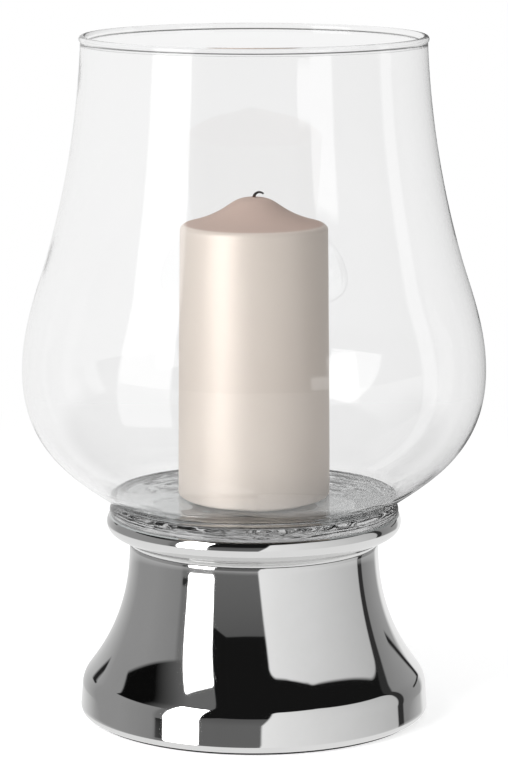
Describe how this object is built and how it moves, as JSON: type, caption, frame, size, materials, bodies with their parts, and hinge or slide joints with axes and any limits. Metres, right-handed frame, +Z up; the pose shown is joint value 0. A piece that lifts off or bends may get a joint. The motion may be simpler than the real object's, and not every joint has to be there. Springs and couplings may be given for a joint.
{
  "type": "hurricane candle holder",
  "caption": "Hurricane candle holder: a bulged clear glass shade standing on the moulded collar of a flared polished metal foot, with a domed pillar candle.",
  "frame": {"origin": "centre of the underside of the foot, on the surface that it stands on", "axes": "+Z up along the axis of the foot, the glass and the candle; +X is the side to which the burnt wick bends; seen from the front, the camera looks along +Y"},
  "size_m": [0.2468, 0.2468, 0.3649],
  "materials": {
    "polished_metal": "mirror polished and nickel plated",
    "plated_steel": "zinc plated",
    "felt": "pressed felt",
    "clear_glass": "clear, blown, fire polished rim",
    "pearl_wax": "paraffin wax with a pearl lacquer, stands in for wax",
    "wick": "braided cotton, charred at the end"
  },
  "bodies": {
    "base": {"felt_ring": "felt", "foot": "polished_metal", "collar_ring": "polished_metal", "dish": "polished_metal", "tie_stud": "plated_steel", "flat_washer": "plated_steel", "lock_washer": "plated_steel", "hex_nut": "plated_steel"},
    "shade": {"glass_shade": "clear_glass"},
    "candle": {"candle_wax": "pearl_wax", "candle_wick": "wick"}
  },
  "joints": [
    {"name": "shade_lift", "type": "slide", "parent": "base", "child": "shade", "axis": [0, 0, 1], "range_m": [0, 0.06]},
    {"name": "candle_lift", "type": "slide", "parent": "shade", "child": "candle", "axis": [0, 0, 1], "range_m": [0, 0.26]}
  ]
}
